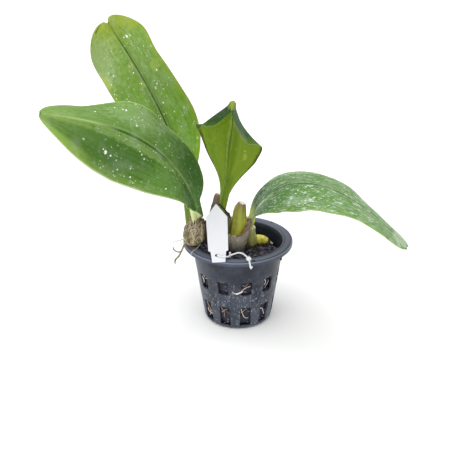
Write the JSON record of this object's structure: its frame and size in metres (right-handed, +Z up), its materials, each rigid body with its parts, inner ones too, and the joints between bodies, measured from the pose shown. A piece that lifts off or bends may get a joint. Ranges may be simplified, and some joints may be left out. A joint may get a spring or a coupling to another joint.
{
  "type": "potted bulbophyllum orchid",
  "caption": "Creeping orchid with oval pseudobulbs and broad leathery leaves, rooted in a round black net pot with a blank plant tag.",
  "frame": {"origin": "middle of the pot's flat underside, on the surface that the pot stands on", "axes": "+Z up, +X towards the single leaf on the right, -Y towards the plant tag on the pot's front"},
  "size_m": [0.2914, 0.1982, 0.2645],
  "materials": {
    "pot_plastic": "dusty satin black",
    "medium": "damp dark bark chips",
    "rhizome_bark": "dry brown rhizome",
    "husk": "dry fibrous husk",
    "bulb_skin": "smooth waxy bulb skin",
    "old_bulb_skin": "dry wrinkled bulb skin",
    "sheath_paper": "dry papery bract",
    "shoot_skin": "smooth new growth",
    "leaf_light": "leathery satin leaf, yellow-green",
    "leaf_dark": "leathery satin leaf, deep green",
    "tag_plastic": "white satin plastic"
  },
  "bodies": {
    "root": {"pot": "pot_plastic", "growing_medium": "medium", "rhizome": "rhizome_bark", "pseudobulb_left": "husk", "pseudobulb_back_left": "bulb_skin", "pseudobulb_centre": "bulb_skin", "pseudobulb_old": "old_bulb_skin", "pseudobulb_bare": "bulb_skin", "pseudobulb_right": "bulb_skin", "papery_sheath": "sheath_paper", "new_shoot": "shoot_skin", "leaf_upper_left": "leaf_light", "leaf_left": "leaf_dark", "leaf_centre": "leaf_light", "leaf_right": "leaf_dark", "plant_tag": "tag_plastic", "tag_tie": "tag_plastic"}
  },
  "joints": []
}
